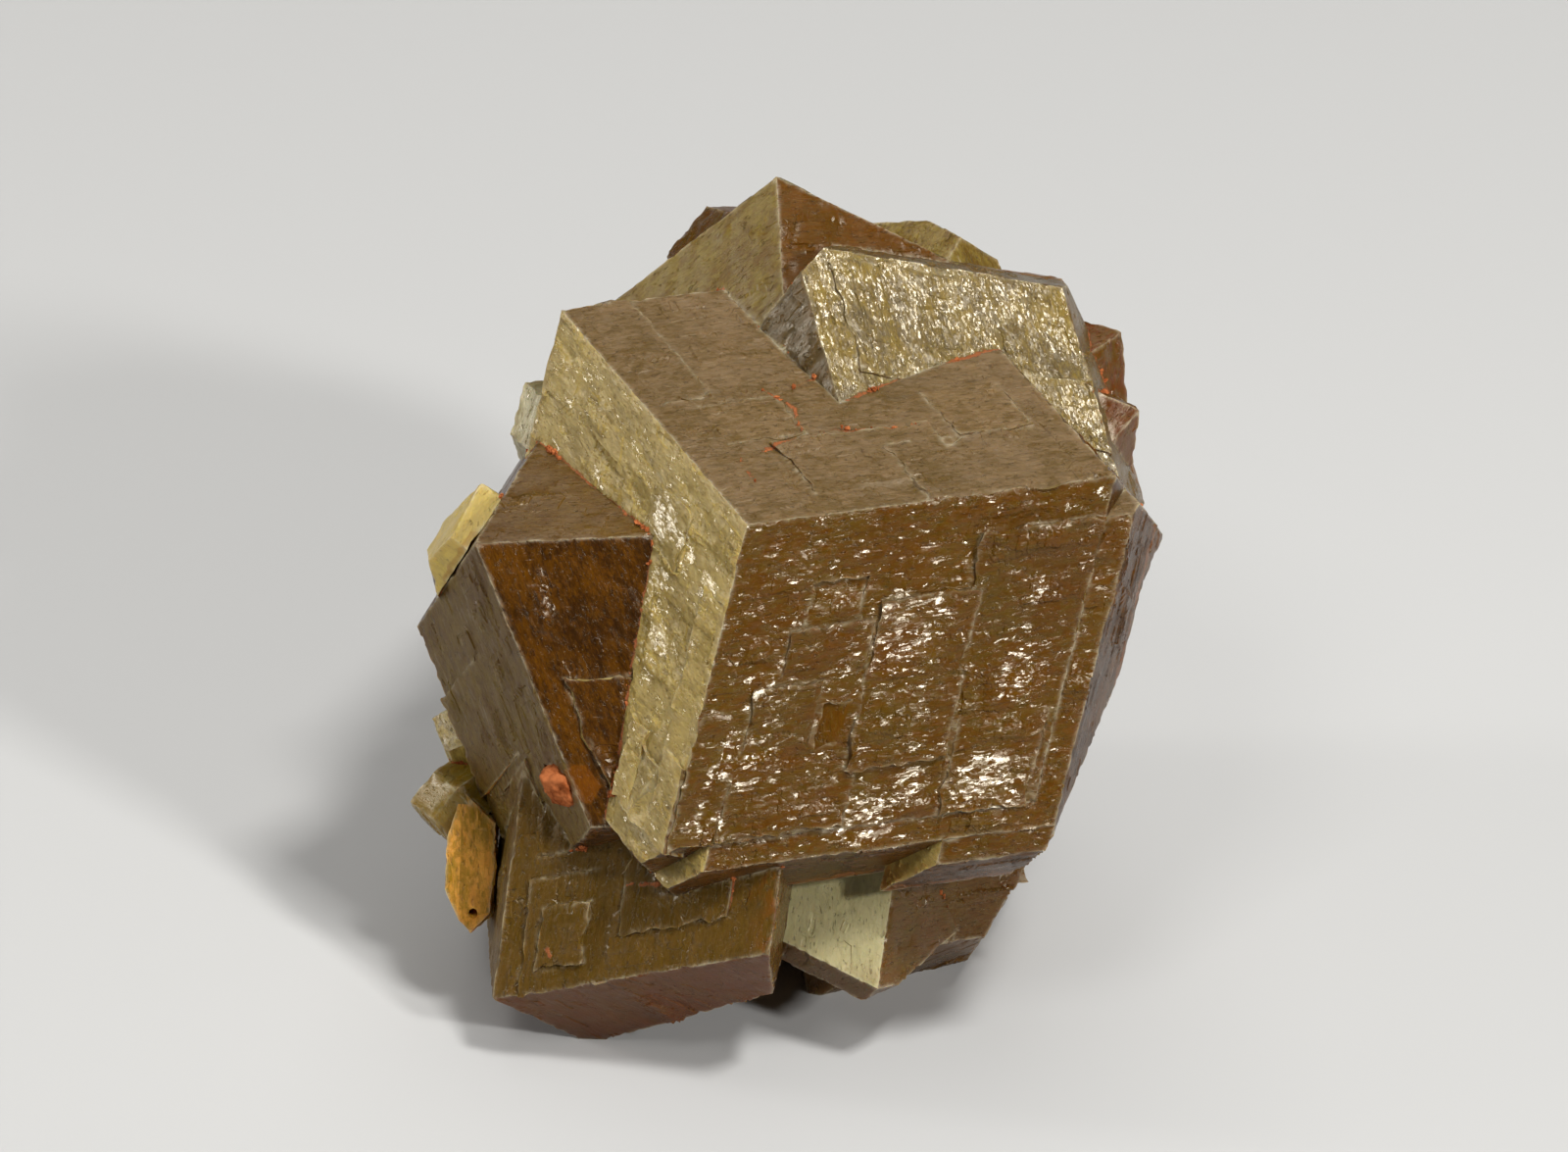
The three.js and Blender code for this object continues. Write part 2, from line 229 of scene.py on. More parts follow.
class GarnetColours(bpy.types.PropertyGroup):
    """Tints of the crystal faces and of the iron oxide."""

    mauve: colour("Mauve", "Large upper face of the main crystal", tone(107, 84, 53))
    bronze: colour("Bronze", "Darker patches of the brown faces", tone(84, 60, 18))
    tan: colour("Tan", "Left face of the main crystal", tone(156, 134, 74))
    khaki: colour("Khaki", "Darker patches of the pale faces", tone(118, 98, 46))
    amber: colour("Amber", "Front face of the main crystal", tone(82, 47, 1))
    dark_amber: colour("Dark amber", "Faces that look at the ground", tone(84, 38, 1))
    umber: colour("Umber", "Dark brown faces", tone(46, 23, 1))
    brown: colour("Brown", "Dull brown faces", tone(72, 46, 6))
    moss: colour("Moss", "Green-brown faces at the top", tone(112, 94, 40))
    silver: colour("Silver", "Bright face beside the crown", tone(88, 74, 48))
    olive: colour("Olive", "Dark green-brown faces at the lower left", tone(76, 54, 6))
    grey_olive: colour("Grey olive", "Dull faces at the left", tone(94, 72, 12))
    pale: colour("Pale", "Light grey-green face of the foot crystal", tone(164, 154, 112))
    sage: colour("Sage", "Greener patches of the pale face", tone(142, 134, 94))
    straw: colour("Straw", "Pale yellow parts of small crystals", tone(176, 152, 78))
    honey: colour("Honey", "Small yellow crystals", tone(122, 94, 12))
    splinter: colour("Splinter", "Broken sliver at the left", tone(204, 144, 60))
    glow: colour("Glow", "Thin rims, which light shines through", tone(128, 70, 8))
    # Pale colour of the specks, and of the worn rims, where it is also a painted highlight along the
    # edges
    dust: colour("Dust", "Pale specks on the faces", tone(200, 190, 160))
    rust: colour("Rust", "Iron oxide in the seams", tone(178, 104, 60))
    rust_dark: colour("Dark rust", "Hollows of the iron oxide", tone(122, 60, 26))


class GarnetSizes(bpy.types.PropertyGroup):
    """Sizes of the surface detail."""

    mesh_front: length("Front mesh", "Distance between mesh points on faces that look forward", 0.31)
    mesh_back: length("Back mesh", "Distance between mesh points on the other faces", 0.5)
    block_height: length("Block height", "Rise of a growth block on a face", 0.045)
    chip_depth: length("Chip depth", "How far the crystal edges are worn back", 0.09)
    ledge_wander: length("Ledge wander", "How far a growth ledge strays from its line", 0.16)
    stain_width: length("Stain width", "How far rust spreads from a seam", 0.42)
    grain: length("Grain size", "Largest rust grain in a seam", 0.22)
    grain_count: bpy.props.IntProperty(
        name="Grain count", description="Rust grains along all seams", default=1300, min=0
    )


class GarnetStage(bpy.types.PropertyGroup):
    """The floor and the lights."""

    floor: colour("Floor", "Colour of the floor", (0.52, 0.515, 0.50))
    key: measure("Key light", "Power of the key light", 1.7, unit="POWER")
    fill: measure("Fill", "Power of the side lights", 0.6, unit="POWER")
    ambient: measure("Ambient", "Brightness of the surroundings", 0.05, subtype="FACTOR", min=0, max=1)


# Helpers for meshes


def stored(items, field, size, kind):
    """One field of a mesh's points, edges or triangles, with a row for each of them."""
    values = np.empty(len(items) * size, kind)
    items.foreach_get(field, values)
    return values.reshape(-1, size)


def edges_of(triangles):
    """Each edge as a sorted pair, with the triangles at its sides."""
    sides = {}
    for index, corners in enumerate(triangles.tolist()):
        for i, j in zip(corners, corners[1:] + corners[:1]):
            sides.setdefault((min(i, j), max(i, j)), []).append(index)
    return sides


def unit(vectors):
    """Vectors of length 1 in the same directions."""
    return vectors / np.maximum(np.linalg.norm(vectors, axis=1), 1e-12)[:, None]


def crosses(points, triangles):
    """A vector upright on each triangle, as long as twice its area."""
    a, b, c = (points[triangles[:, k]] for k in range(3))
    return np.cross(b - a, c - a)


def turns(places, triangles):
    """Twice the area of each triangle in a plane, below 0 where its corners run clockwise."""
    return crosses(raised(places), triangles)[:, 2]


def raised(places):
    """Places in a plane as points in space."""
    return np.column_stack((places, np.zeros(len(places))))


def neighbours(count, pairs):
    """For each of so many indices, the ones that it is paired with."""
    beside = [[] for _ in range(count)]
    for one, other in pairs:
        beside[one].append(other)
        beside[other].append(one)
    return beside


def reached(seed, beside, free):
    """The free indices that neighbours lead to from a seed. They are free no longer."""
    free[seed] = False
    queue, members = [seed], []
    while queue:
        here = queue.pop()
        members.append(here)
        for other in beside[here]:
            if free[other]:
                free[other] = False
                queue.append(other)
    return members


def nearest(points, marks):
    """For each point, the index of the closest mark and the distance to it."""
    tree = KDTree(len(marks))
    for index, mark in enumerate(marks):
        tree.insert(mark, index)
    tree.balance()
    found = [tree.find(point) for point in points]
    return [index for _, index, _ in found], np.array([apart for _, _, apart in found])


# Flat parts of the solid and their crystal faces

FACE_AXES = "xyz"
WELD = 1e-4  # millimetres between corners that are the same one
FLAT_TOLERANCE = 2e-3  # millimetres off a plane
SAME_FACE = 0.99993  # cosine between a flat part and the crystal face it belongs to
LEDGE_RISE = 0.6  # millimetres: flat parts narrower than this are the sides of growth steps
STEP_TOP = 0.985  # cosine between the sloping top of a growth step and the face that carries it
SMALLEST_GROWN = 1.0  # square millimetres: smaller flat parts have no growth steps
DOWN, ON_FLOOR = -0.999, 0.01  # normal's z and height in millimetres of the parts it rests on
BENDS = ((1.6, 0.07), (0.4, 0.012))  # wavelength and reach of bends in growth steps, in millimetres
SWELL_WAVE, SWELL_SHARE = 2.4, 0.35  # wavelength in millimetres, share of the height of a block
SQRT2 = math.sqrt(2)


def crystal_turn(aim, twist):
    azimuth, elevation = (math.radians(angle) for angle in aim)
    turn = Matrix.Rotation(azimuth, 3, "Z") @ Matrix.Rotation(-elevation, 3, "Y")
    return turn @ Matrix.Rotation(math.radians(twist), 3, "X")


@functools.lru_cache
def crystal_faces():
    """For each face: crystal, name, centre, blunt corner's direction, normal, edge directions."""
    rows = []
    kinds = list(itertools.product(((0, 1), (0, 2), (1, 2)), (1, -1), (1, -1)))
    for crystal, (centre, aim, twist) in CRYSTALS.items():
        turn = np.array(crystal_turn(aim, twist))
        for (first, second), sign, other in kinds:
            spare = 3 - first - second
            normal = np.zeros(3)
            normal[first], normal[second] = sign, other
            along, across, corner = normal.copy(), normal.copy(), normal.copy()
            along[second] *= -1
            across[first] *= -1
            along[spare] = across[spare] = -1
            corner[spare] = 1
            face = f"{'+-'[sign < 0]}{FACE_AXES[first]}{'+-'[other < 0]}{FACE_AXES[second]}"
            vectors = [turn @ (v / np.linalg.norm(v)) for v in (normal, along, across)]
            rows.append((crystal, face, np.array(centre), turn @ corner, *vectors))
    return rows


def welded(mesh):
    """Corners in millimetres and triangles of a CAD mesh, with shared corners joined."""
    places = stored(mesh.vertices, "co", 3, np.float32).astype(float) / MM
    mesh.calc_loop_triangles()
    corners = stored(mesh.loop_triangles, "vertices", 3, np.int32)
    cells = np.round(places / WELD).astype(np.int64)
    _, first, joined = np.unique(cells, axis=0, return_index=True, return_inverse=True)
    return places[first], joined.reshape(-1)[corners]


class FlatPart:
    """A flat part of the cluster and the growth directions of the crystal face it belongs to."""

    def __init__(self, number, normal, level, area, points):
        self.number, self.normal, self.level = number, normal, level
        self.middle, self.area = points.mean(axis=0), area
        self.width = area / np.linalg.norm(np.ptp(points, axis=0))
        self.crystal, self.face, self.host = BROKEN, None, None
        self.terraces, self.rim = [], []
        rows = [row for row in crystal_faces() if row[4] @ normal > SAME_FACE]
        if rows:
            row = min(rows, key=lambda row: np.linalg.norm(row[2] - self.middle))
            self.crystal, self.face, centre, corner, _, self.along, self.across = row
            self.start = centre + corner * ((self.middle - centre) @ normal) / SQRT2
        else:
            flat = np.cross(normal, (0, 0, 1)) if abs(normal[2]) < 0.9 else np.array((1.0, 0, 0))
            self.along = flat / np.linalg.norm(flat)
            self.across = np.cross(normal, self.along)
            self.start = np.zeros(3)
            if np.linalg.norm(self.middle - SPLINTER) < SPLINTER_REACH:
                self.crystal = SLIVER
        self.ground = normal[2] < DOWN and self.middle[2] < ON_FLOOR
        if self.ground:
            self.crystal, self.face = BROKEN, None

    def bend(self, growth):
        """How far growth steps stray from straight lines there."""
        moves = [wave(growth) * reach for wave, reach in self.bends]
        return np.column_stack((moves[0] + moves[2], moves[1] + moves[3]))

    def grow(self, rim, height):
        """Lays out the face's growth steps, and returns places in space along their outlines."""
        rng = draws("bends", self.number)
        self.bends = [(Wander(2, wave, rng), reach) for wave, reach in BENDS for _ in range(2)]
        self.swell = Wander(2, SWELL_WAVE, rng)
        growth = self.growth(rim)
        if self.area > SMALLEST_GROWN:
            self.terraces = terraces_of(self, growth.min(axis=0), growth.max(axis=0), height)
        if not self.terraces:
            return np.zeros((0, 3))
        marks = np.vstack([step.outline(self.spacing) for step in self.terraces])
        places = marks.copy()
        for _ in range(5):  # until the bent places are at the marks
            places = marks - self.bend(places)
        return self.start + places[:, :1] * self.along + places[:, 1:] * self.across

    def relief_at(self, points, height):
        """Height of the growth steps above the flat face, in millimetres."""
        if not self.terraces:
            return np.zeros(len(points))
        growth = self.growth(points)
        bent = growth + self.bend(growth)
        heights = SWELL_SHARE * height * self.swell(growth * (1, 1.6))
        for step in self.terraces:
            heights += step.height(bent)
        return heights

    def growth(self, points):
        """Distances along the face's two edge directions from its blunt corner."""
        lean = self.along @ self.across
        first, second = (points - self.start) @ self.along, (points - self.start) @ self.across
        spread = 1 - lean * lean
        return np.column_stack(((first - lean * second) / spread, (second - lean * first) / spread))

    def adopt(self, host):
        """Takes the crystal face of a part that this one rises from."""
        self.crystal, self.face, self.start = host.crystal, host.face, host.start
        self.along, self.across = host.along, host.across

    @property
    def look(self):
        if self.host:
            return self.host.look._replace(relief=0)
        return LOOKS.get((self.crystal, self.face)) or LOOKS[self.crystal, None]

    def of_face(self, table):
        return table.get((self.crystal, self.face), ())


def flat_parts(points, triangles):
    """The flat parts of the solid, and for each triangle the number of its part."""
    cross = crosses(points, triangles)
    area, normals = np.linalg.norm(cross, axis=1), unit(cross)
    sides = list(edges_of(triangles).values())
    beside = neighbours(len(triangles), sides)
    owner = np.full(len(triangles), -1)
    parts = []
    for seed in np.argsort(-area):
        if owner[seed] >= 0:
            continue
        normal = normals[seed]
        level = normal @ points[triangles[seed, 0]]
        off = np.abs(points[triangles] @ normal - level).max(axis=1)
        free = (owner < 0) & (off < FLAT_TOLERANCE) & (normals @ normal > 0.5)
        members = reached(seed, beside, free)
        owner[members] = len(parts)
        own = points[np.unique(triangles[members])]
        parts.append(FlatPart(len(parts), normal, level, area[members].sum() / 2, own))
    find_hosts(parts, {(owner[one], owner[other]) for one, other in sides})
    return parts, owner


def find_hosts(parts, meetings):
    """Gives the tops and sides of growth steps the crystal face that they rise from."""
    beside = [set(others) for others in neighbours(len(parts), meetings)]
    for part in sorted(parts, key=lambda part: -part.area):
        near = set().union(beside[part.number], *(beside[index] for index in beside[part.number]))
        wider = [parts[index] for index in near if parts[index].area > part.area and parts[index].face]
        least = SAME_FACE if part.face else STEP_TOP
        faces = [other for other in wider if part.normal @ other.normal > least]
        if faces:
            part.adopt(max(faces, key=lambda other: other.area))
    for part in parts:
        faces = [parts[index] for index in beside[part.number] if parts[index].face]
        if part.crystal == BROKEN and part.width < LEDGE_RISE and faces:
            part.host = max(faces, key=lambda other: other.area)


# Fine mesh over the flat parts

TO_CAMERA = (0, -0.87, 0.5)
LEAST_FORWARD = 0.05  # cosine to that of the flat parts that look forward
BACK_CROWD = 0.4  # share of growth steps that the other flat parts have
NO_CREST = 0.97  # cosine between two flat parts that meet without a crest
SHORTEST_CREST = 0.4  # millimetres
JITTER = 0.12  # share of the spacing that mesh points are moved by
MARK_GRID = 0.04  # millimetres: one mark of a growth step's outline is kept in each square
MARK_GAP = 0.07  # millimetres between the marks and the rim


def within(places, starts, ends):
    """Which places are inside the closed outline, by counting the sides that a level line crosses."""
    rise = ends[:, 1] - starts[:, 1]
    rise[rise == 0] = 1e-12
    inside = np.zeros(len(places), bool)
    for low in range(0, len(places), 2000):
        x, y = places[low : low + 2000, 0, None], places[low : low + 2000, 1, None]
        crossed = (starts[:, 1] > y) != (ends[:, 1] > y)
        at = starts[:, 0] + (y - starts[:, 1]) * (ends[:, 0] - starts[:, 0]) / rise
        inside[low : low + 2000] = (crossed & (x < at)).sum(axis=1) % 2 == 1
    return inside


def enclosed(triangles, places, sides):
    """Which triangles the closed rim encloses. The largest of each area tells for all of it."""
    rim = {(min(i, j), max(i, j)) for i, j in sides}
    inner = [owners for side, owners in edges_of(triangles).items() if side not in rim]
    open_side = np.zeros(len(triangles), bool)
    open_side[[owners[0] for owners in inner if len(owners) == 1]] = True
    beside = neighbours(len(triangles), [owners for owners in inner if len(owners) == 2])
    starts, ends = places[[i for i, _ in sides]], places[[j for _, j in sides]]
    kept, free = np.zeros(len(triangles), bool), np.ones(len(triangles), bool)
    for seed in np.argsort(-np.abs(turns(places, triangles))):
        if free[seed]:
            members = reached(seed, beside, free)
            centre = places[triangles[seed]].mean(axis=0)[None]
            kept[members] = not open_side[members].any() and within(centre, starts, ends)[0]
    return kept


def clear_of(places, others, gap):
    """Which places in a plane have none of the others within the gap."""
    return nearest(raised(places), raised(others))[1] > gap


class Surface:
    """The fine mesh: points, triangles, the flat part of each triangle, and its seams and crests."""

    def __init__(self, node, spacing_front, spacing_back, height):
        corners, triangles = welded(node.data)
        self.parts, owner = flat_parts(corners, triangles)
        self.points, self.height = corners.tolist(), height
        self.rng = draws("mesh")
        for part in self.parts:
            part.spacing, part.crowd = spacing_back, BACK_CROWD
            if part.normal @ TO_CAMERA > LEAST_FORWARD:
                part.spacing, part.crowd = spacing_front, 1
            if part.ground:
                part.spacing, part.crowd = 2 * spacing_back, 0
        self.seams, self.crests, self.ledges = {}, [], {}
        for (i, j), (one, other) in edges_of(triangles).items():
            if owner[one] != owner[other]:
                self.divide(i, j, self.parts[owner[one]], self.parts[owner[other]], corners)
        found, belongs = [], []
        for part in self.parts:
            own = self.mesh_of(part)
            found += own
            belongs += [part.number] * len(own)
        self.points = np.array(self.points)
        self.triangles = np.array(found)
        self.belongs = np.array(belongs)

    def divide(self, i, j, one, other, corners):
        """Puts points along the edge between two flat parts, and sorts it as a seam or a crest."""
        start, end = corners[i], corners[j]
        reach = np.linalg.norm(end - start)
        count = max(1, math.ceil(reach / min(one.spacing, other.spacing)))
        chain = [i]
        for step in range(1, count):
            chain.append(len(self.points))
            self.points.append((start + (end - start) * step / count).tolist())
        chain.append(j)
        for part in (one, other):
            part.rim += list(zip(chain, chain[1:]))
        inner = one.middle - start
        away = other.normal @ inner
        if one.normal @ other.normal > NO_CREST:
            return
        pair = tuple(sorted((one.crystal, other.crystal)))
        mixed = one.crystal != other.crystal
        if BROKEN in pair and mixed and min(one.width, other.width) < LEDGE_RISE:
            host = one if one.width > other.width else other
            self.ledges.update((index, host.normal) for index in chain)
        if away > 1e-6:  # the first part rises above the second: they meet in a hollow
            if mixed and BROKEN not in pair:
                self.seams.update((index, RUSTY.get(pair, SOME_RUST)) for index in chain)
        elif reach > SHORTEST_CREST:
            self.crests += chain

    def mesh_of(self, part):
        """Triangles over a flat part, even in size, that keep to its rim."""
        along = part.along - part.normal * (part.along @ part.normal)
        along /= np.linalg.norm(along)
        basis = np.column_stack((along, np.cross(part.normal, along)))
        names = sorted({index for side in part.rim for index in side})
        place = {index: k for k, index in enumerate(names)}
        flat = np.array([self.points[index] for index in names]) @ basis
        sides = [(place[i], place[j]) for i, j in part.rim]
        starts, ends = flat[[i for i, _ in sides]], flat[[j for _, j in sides]]
        low, high = flat.min(axis=0), flat.max(axis=0)
        step = part.spacing
        columns = np.arange(low[0] + step / 2, high[0], step)
        rows = np.arange(low[1] + step / 2, high[1], step * math.sqrt(0.75))
        inner = np.zeros((0, 2))
        if len(columns) and len(rows):
            x, y = np.meshgrid(columns, rows)
            x = x + (np.arange(len(rows)) % 2)[:, None] * step / 2
            inner = np.column_stack((x.ravel(), y.ravel()))
            inner += self.rng.uniform(-JITTER, JITTER, inner.shape) * step
            steps = part.grow(np.array([self.points[index] for index in names]), self.height) @ basis
            steps = steps[np.unique(np.round(steps / MARK_GRID), axis=0, return_index=True)[1]]
            steps = steps[within(steps, starts, ends)]
            steps = steps[clear_of(steps, flat, MARK_GAP)]
            inner = inner[within(inner, starts, ends)]
            inner = inner[clear_of(inner, np.vstack((flat, steps)), step / 2)]
            inner = np.vstack((steps, inner))
        for u, v in inner:
            names.append(len(self.points))
            self.points.append((basis @ (u, v) + part.normal * part.level).tolist())
        every = np.vstack((flat, inner))
        made = delaunay_2d_cdt([Vector(p) for p in every], sides, [], 0, 1e-9, True)
        ids = [origin[0] for origin in made[3]]
        triangles = np.array([[ids[k] for k in face] for face in made[2]])
        triangles = triangles[enclosed(triangles, every, sides)]
        turned = turns(every, triangles) < 0
        triangles[turned] = triangles[turned][:, ::-1]
        return [[names[k] for k in face] for face in triangles.tolist()]


@functools.lru_cache
def cluster_surface():
    sizes = bpy.context.scene.garnet_sizes
    spacings = sizes.mesh_front / MM, sizes.mesh_back / MM
    return Surface(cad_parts[CLUSTER], *spacings, sizes.block_height / MM)


# Growth relief

TERRACE_EDGE = 0.03  # millimetres between a growth step's outline and the points beside it
HILLOCKS, BLOCKS = 0.07, 0.48  # how many there are on a square millimetre
HILLOCK_HALVES = (0.9, 0.4), (3.0, 1.3)  # smallest and largest half sizes, in millimetres
BLOCK_HALVES = (0.22, 0.07), (0.85, 0.24)
TERRACE_SLOPE = 0.012
EVEN_WEAR, MOST_WEAR = 0.35, 1.3  # shares of the depth that crests are worn by
WEAR_WAVES = ((0.65, 0.9), (0.5, 0.35))  # share and wavelength in millimetres
LEDGE_REACH = 0.5  # millimetres around a ledge that move with it
LEDGE_WAVES = (2.2, 0.9)  # wavelengths in millimetres of its slow bends and its jogs
LEDGE_JOGS = 1.6  # levels of the jogs per unit of height


class Wander:
    """Smooth random heights, about -1 to 1, over places of any dimension."""

    def __init__(self, size, wavelength, rng, waves=14):
        heading = unit(rng.normal(size=(waves, size)))
        lengths = wavelength * rng.uniform(0.6, 1.8, waves)
        self.pace = heading * (2 * math.pi / lengths)[:, None]
        self.turn = rng.uniform(0, 2 * math.pi, waves)

    def __call__(self, places):
        heights = np.sin(places @ self.pace.T + self.turn).sum(axis=1)
        return heights / math.sqrt(len(self.turn) / 2) / 1.6


def wander(places, wavelength, rng):
    return Wander(places.shape[1], wavelength, rng)(places)


def box_outline(low, high, spacing):
    corners = np.array([low, (high[0], low[1]), high, (low[0], high[1])])
    sides = []
    for start, end in zip(corners, np.roll(corners, -1, axis=0)):
        count = max(1, math.ceil(np.linalg.norm(end - start) / spacing))
        sides.append(start + (end - start) * (np.arange(count) / count)[:, None])
    return np.vstack(sides)


class Terrace(NamedTuple):
    """A low growth step: boxes in growth coordinates that share one rise and one slope."""

    lows: np.ndarray
    highs: np.ndarray
    rise: float
    slope: np.ndarray

    def holds(self, growth, grown=0.0):
        inside = (growth[:, None] > self.lows - grown) & (growth[:, None] < self.highs + grown)
        return inside.all(axis=2).any(axis=1)

    def height(self, growth):
        middle = (self.lows[0] + self.highs[0]) / 2
        return self.holds(growth) * (self.rise + (growth - middle) @ self.slope)

    def outline(self, spacing):
        """Points close to the outline, on both sides of it."""
        found = []
        for grown in (TERRACE_EDGE, -TERRACE_EDGE):
            for low, high in zip(self.lows - grown, self.highs + grown):
                points = box_outline(low, high, spacing)
                found.append(points[~self.holds(points, grown - 1e-3)])
        return np.vstack(found)


def terrace(centre, half, rise, rng, jogs):
    """A growth step around a centre, with smaller boxes at its sides that make its outline jog."""
    lows, highs = [centre - half], [centre + half]
    for _ in range(jogs):
        middle = centre + half * rng.choice((-1, 1), 2) * rng.uniform(0.2, 1.0, 2)
        reach = half * rng.uniform(0.25, 0.7, 2)
        lows.append(middle - reach)
        highs.append(middle + reach)
    return Terrace(np.array(lows), np.array(highs), rise, rng.normal(0, TERRACE_SLOPE, 2))


def terraces_of(part, low, high, height):
    """The growth steps of a face: hillocks of nested steps, and small blocks."""
    look = part.look
    order = [0, 1] if look.run == "along" else [1, 0]
    rng = draws("terraces", part.number)
    area = np.prod(high - low) * look.relief * part.crowd
    found = []
    for _ in range(int(area * HILLOCKS + rng.random())):
        centre = rng.uniform(low, high)
        half = rng.uniform(*HILLOCK_HALVES)[order]
        rise = height * rng.choice((1.0, 0.7, -0.7))
        for _ in range(rng.integers(2, 5)):
            found.append(terrace(centre, half, rise, rng, rng.integers(0, 4)))
            centre = centre + rng.uniform(-0.3, 0.3, 2) * half
            half = half * rng.uniform(0.5, 0.8, 2)
    for _ in range(int(area * BLOCKS)):
        half = rng.uniform(*BLOCK_HALVES)[order]
        rise = height * rng.uniform(0.4, 1.0) * rng.choice((-1, 1))
        found.append(terrace(rng.uniform(low, high), half, rise, rng, rng.integers(0, 2)))
    return found


def relief_offsets(surface, height, chip, stray):
    """How far each point of the fine mesh moves, in millimetres."""
    points = surface.points
    offsets, count = np.zeros_like(points), np.zeros(len(points))
    still = np.zeros(len(points), bool)
    for part in surface.parts:
        own = np.unique(surface.triangles[surface.belongs == part.number])
        if part.ground:
            still[own] = True
            continue
        offsets[own] += part.relief_at(points[own], height)[:, None] * part.normal
        count[own] += 1
    offsets /= np.maximum(count, 1)[:, None]
    normals = np.zeros_like(points)
    cross = crosses(points, surface.triangles)
    for k in range(3):
        np.add.at(normals, surface.triangles[:, k], cross)
    rng = draws("wear")
    crest = np.unique(surface.crests)
    wear = sum((share * wander(points[crest], wave, rng) for share, wave in WEAR_WAVES), EVEN_WEAR)
    offsets[crest] -= unit(normals[crest]) * (chip * np.clip(wear, 0, MOST_WEAR))[:, None]
    offsets += ledge_offsets(surface, stray)
    offsets[still] = 0
    return offsets


def ledge_offsets(surface, stray):
    """Sideways moves that make the ledges of growth steps stray from straight lines, in short jogs."""
    points = surface.points
    index, apart = nearest(points, points[list(surface.ledges)])
    close = np.clip(1 - apart / LEDGE_REACH, 0, 1)
    hosts = np.array(list(surface.ledges.values()))[index]
    rng = draws("ledges")
    moves = np.empty_like(points)
    for axis in range(3):
        slow, quick = (wander(points, wave, rng) for wave in LEDGE_WAVES)
        moves[:, axis] = 0.6 * slow + 0.5 * np.round(LEDGE_JOGS * quick) / LEDGE_JOGS
    moves -= hosts * (moves * hosts).sum(axis=1)[:, None]
    return moves * (stray * close)[:, None]


def placed(name, data, location=(0, 0, 0), turn=(0, 0, 0)):
    """An object in the scene."""
    made = bpy.data.objects.new(name, data)
    made.location, made.rotation_euler = location, turn
    bpy.context.scene.collection.objects.link(made)
    return made


def mesh_object(name, points, triangles, material):
    mesh = bpy.data.meshes.new(name)
    mesh.from_pydata(points, [], triangles)
    mesh.materials.append(material)
    mesh.update()
    return placed(name, mesh)


def attribute(mesh, name, domain, values):
    """Stores a number, a vector or a colour for each point or corner."""
    width = values.shape[1] if values.ndim > 1 else 1
    kinds = {1: ("FLOAT", "value"), 3: ("FLOAT_VECTOR", "vector"), 4: ("FLOAT_COLOR", "color")}
    kind, field = kinds[width]
    layer = mesh.attributes.new(name, kind, domain)
    layer.data.foreach_set(field, np.ascontiguousarray(values, np.float32).ravel())


CRACK_WIDTH, CREST_WIDTH = 0.35, 0.28  # millimetres
THIN = 9.0  # millimetres of crystal, beyond which no light shines through
BEHIND = 0.05  # millimetres below the surface, where that is measured from
CRISP = 0.9  # cosine between two triangles below which their edge stays sharp
PATTERN_SHIFT = 7.3  # between the patterns of two flat parts


def distance_to_line(places, line):
    """Shortest distance from each place to the sides of an open line."""
    line = np.array(line)
    starts, sides = line[:-1], np.diff(line, axis=0)
    along = ((places[:, None] - starts) * sides).sum(axis=2) / (sides**2).sum(axis=1)
    nearest = starts + np.clip(along, 0, 1)[:, :, None] * sides
    return np.linalg.norm(places[:, None] - nearest, axis=2).min(axis=1)


def nearness(points, marks, reach, weights=None):
    """1, or the mark's weight, at the marks, falling to 0 at that reach."""
    index, apart = nearest(points, marks)
    close = np.clip(1 - apart / reach, 0, 1)
    return close * np.array(weights)[index] if weights else close


def thinness(points, normals, triangles):
    """1 where the crystal is thin behind a point, 0 where no light shines through."""
    tree = BVHTree.FromPolygons(points.tolist(), triangles.tolist())
    thick = np.empty(len(points))
    for index, (point, normal) in enumerate(zip(points, normals)):
        hit = tree.ray_cast(Vector(point - normal * BEHIND), Vector(-normal), THIN)
        thick[index] = THIN if hit[3] is None else hit[3]
    return 1 - thick / THIN


# Shader building


def arithmetic(operation):
    """An operator and its reflected form, which add a node to the finish."""
    return (
        lambda self, other: self.finish.math(operation, self, other),
        lambda self, other: self.finish.math(operation, other, self),
    )


class Value:
    """A number, vector or colour that varies over a surface. Arithmetic on it adds nodes."""

    def __init__(self, finish, socket):
        self.finish, self.socket = finish, socket
        self.wide = socket.type in ("VECTOR", "RGBA")

    __add__, __radd__ = arithmetic("ADD")
    __sub__, __rsub__ = arithmetic("SUBTRACT")
    __mul__, __rmul__ = arithmetic("MULTIPLY")


